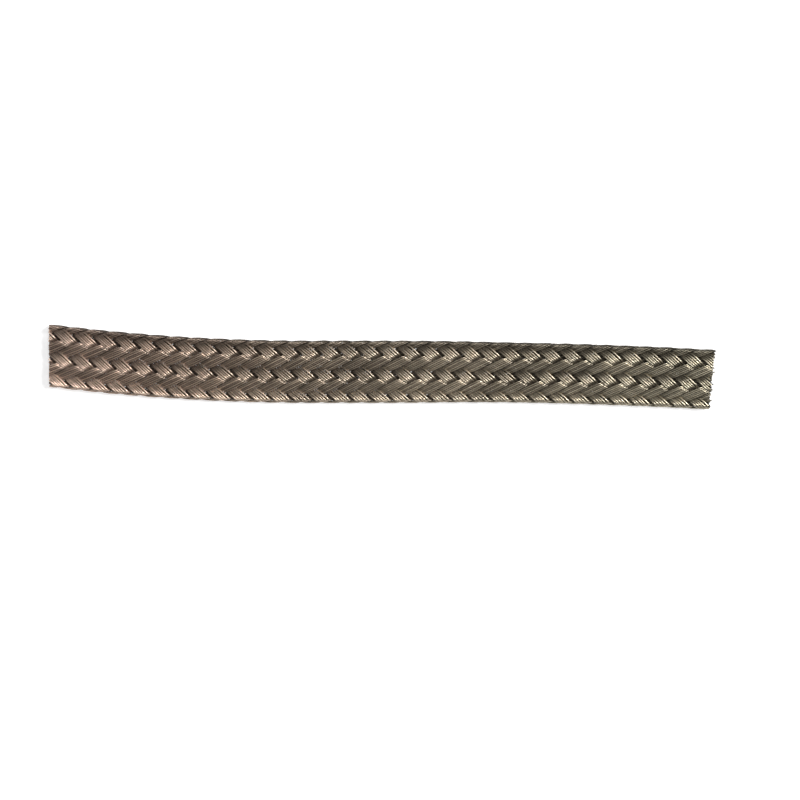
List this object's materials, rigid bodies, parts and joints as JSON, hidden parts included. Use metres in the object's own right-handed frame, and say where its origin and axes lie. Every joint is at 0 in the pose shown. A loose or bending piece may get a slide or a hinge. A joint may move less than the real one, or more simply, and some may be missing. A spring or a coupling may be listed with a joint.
{
  "type": "flexible busbar braid",
  "caption": "Short flat flexible conductor: a flattened tube plaited from interlaced strands of tinned copper wire, cut bare at both ends.",
  "frame": {"origin": "centre of the braid's plan box, on the plane it lies on", "axes": "+X along the braid from its square end to its askew end, +Y across its width, +Z through its thickness"},
  "size_m": [0.1088, 0.014, 0.0025],
  "materials": {
    "tinned_copper": "bright tinned copper wire with a dull brownish tint"
  },
  "bodies": {
    "root": {"falling_strand_01": "tinned_copper", "falling_strand_02": "tinned_copper", "falling_strand_03": "tinned_copper", "falling_strand_04": "tinned_copper", "falling_strand_05": "tinned_copper", "falling_strand_06": "tinned_copper", "falling_strand_07": "tinned_copper", "falling_strand_08": "tinned_copper", "falling_strand_09": "tinned_copper", "falling_strand_10": "tinned_copper", "falling_strand_11": "tinned_copper", "falling_strand_12": "tinned_copper", "rising_strand_01": "tinned_copper", "rising_strand_02": "tinned_copper", "rising_strand_03": "tinned_copper", "rising_strand_04": "tinned_copper", "rising_strand_05": "tinned_copper", "rising_strand_06": "tinned_copper", "rising_strand_07": "tinned_copper", "rising_strand_08": "tinned_copper", "rising_strand_09": "tinned_copper", "rising_strand_10": "tinned_copper", "rising_strand_11": "tinned_copper", "rising_strand_12": "tinned_copper"}
  },
  "joints": []
}
